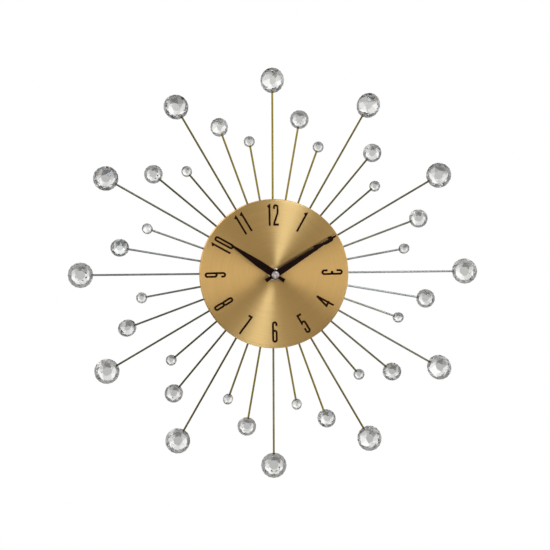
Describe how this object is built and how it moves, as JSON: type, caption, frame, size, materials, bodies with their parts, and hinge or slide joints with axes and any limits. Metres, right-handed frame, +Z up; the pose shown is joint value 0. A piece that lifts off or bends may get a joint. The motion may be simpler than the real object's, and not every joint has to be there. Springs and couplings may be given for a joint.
{
  "type": "sunburst wall clock",
  "caption": "Round wall clock with a brushed gold dial, black hands and metal rods of three lengths fanning out to faceted clear crystals.",
  "frame": {"origin": "the top of the hanger hole, where the nail bears, in the wall plane", "axes": "+Z up, -Y out of the dial towards the viewer, +Y into the wall, +X to the viewer's right"},
  "size_m": [0.381, 0.045, 0.381],
  "materials": {
    "dial_gold": "circular brushed, satin gold",
    "rod_brass": "satin antique brass wire",
    "crystal": "clear, faceted and polished",
    "hand_black": "satin black",
    "nickel": "nickel plated",
    "brass": "machined brass",
    "black_plastic": "fine moulded texture",
    "gear_plastic": "natural acetal",
    "battery_wrap": "plain printed sleeve",
    "spring_steel": "nickel plated strip",
    "board_green": "solder mask",
    "coil_copper": "enamelled copper winding",
    "magnet": "moulded ferrite magnet"
  },
  "bodies": {
    "clock_body": {"crystal_large_01": "crystal", "crystal_large_02": "crystal", "crystal_large_03": "crystal", "crystal_large_04": "crystal", "crystal_large_05": "crystal", "crystal_large_06": "crystal", "crystal_large_07": "crystal", "crystal_large_08": "crystal", "crystal_large_09": "crystal", "crystal_large_10": "crystal", "crystal_large_11": "crystal", "crystal_large_12": "crystal", "crystal_medium_01": "crystal", "crystal_medium_02": "crystal", "crystal_medium_03": "crystal", "crystal_medium_04": "crystal", "crystal_medium_05": "crystal", "crystal_medium_06": "crystal", "crystal_medium_07": "crystal", "crystal_medium_08": "crystal", "crystal_medium_09": "crystal", "crystal_medium_10": "crystal", "crystal_medium_11": "crystal", "crystal_medium_12": "crystal", "crystal_small_01": "crystal", "crystal_small_02": "crystal", "crystal_small_03": "crystal", "crystal_small_04": "crystal", "crystal_small_05": "crystal", "crystal_small_06": "crystal", "crystal_small_07": "crystal", "crystal_small_08": "crystal", "crystal_small_09": "crystal", "crystal_small_10": "crystal", "crystal_small_11": "crystal", "crystal_small_12": "crystal", "spoke_frame": "rod_brass", "dial": "dial_gold", "dial_washer": "brass", "hex_nut": "brass", "movement_case": "black_plastic", "rear_cover": "black_plastic", "contact_negative": "spring_steel", "contact_positive": "spring_steel", "circuit_board": "board_green", "coil": "coil_copper", "stator": "spring_steel"},
    "minute": {"minute_arbor": "brass", "minute_hand": "hand_black", "hand_nut": "nickel"},
    "hour": {"hour_wheel": "gear_plastic", "hour_hand": "hand_black"},
    "motion_work": {"motion_wheel": "gear_plastic"},
    "knob": {"setting_knob": "gear_plastic"},
    "seconds": {"seconds_wheel": "gear_plastic"},
    "step": {"step_wheel": "gear_plastic"},
    "rotor": {"rotor": "magnet"},
    "third": {"third_wheel": "gear_plastic"},
    "centre": {"centre_wheel": "gear_plastic"},
    "battery": {"battery": "battery_wrap"}
  },
  "joints": [
    {"name": "minute_turn", "type": "hinge", "parent": "clock_body", "child": "minute", "pos_m": [0, 0, -0.0365], "axis": [0, 1, 0], "continuous": true},
    {"name": "hour_turn", "type": "hinge", "parent": "clock_body", "child": "hour", "pos_m": [0, 0, -0.0365], "axis": [0, 1, 0], "continuous": true},
    {"name": "motion_turn", "type": "hinge", "parent": "clock_body", "child": "motion_work", "pos_m": [0.00869, 0, -0.03883], "axis": [0, 1, 0], "continuous": true},
    {"name": "knob_turn", "type": "hinge", "parent": "clock_body", "child": "knob", "pos_m": [0.01756, 0, -0.03727], "axis": [0, 1, 0], "continuous": true},
    {"name": "seconds_turn", "type": "hinge", "parent": "clock_body", "child": "seconds", "pos_m": [0, 0, -0.0365], "axis": [0, 1, 0], "continuous": true},
    {"name": "step_turn", "type": "hinge", "parent": "clock_body", "child": "step", "pos_m": [0.00679, 0, -0.02971], "axis": [0, 1, 0], "continuous": true},
    {"name": "rotor_turn", "type": "hinge", "parent": "clock_body", "child": "rotor", "pos_m": [0.01364, 0, -0.02652], "axis": [0, 1, 0], "continuous": true},
    {"name": "third_turn", "type": "hinge", "parent": "clock_body", "child": "third", "pos_m": [-0.00649, 0, -0.03001], "axis": [0, 1, 0], "continuous": true},
    {"name": "centre_turn", "type": "hinge", "parent": "clock_body", "child": "centre", "pos_m": [0, 0, -0.0365], "axis": [0, 1, 0], "continuous": true},
    {"name": "battery_slide", "type": "slide", "parent": "clock_body", "child": "battery", "axis": [0, 1, 0], "range_m": [0, 0.018]}
  ],
  "couplings": [
    {"joint": "hour_turn", "follows": "minute_turn", "ratio": 0.083333},
    {"joint": "motion_turn", "follows": "minute_turn", "ratio": -0.33333},
    {"joint": "knob_turn", "follows": "minute_turn", "ratio": 1},
    {"joint": "step_turn", "follows": "seconds_turn", "ratio": -5},
    {"joint": "rotor_turn", "follows": "seconds_turn", "ratio": 30},
    {"joint": "third_turn", "follows": "seconds_turn", "ratio": -0.13333},
    {"joint": "centre_turn", "follows": "seconds_turn", "ratio": 0.016667}
  ]
}
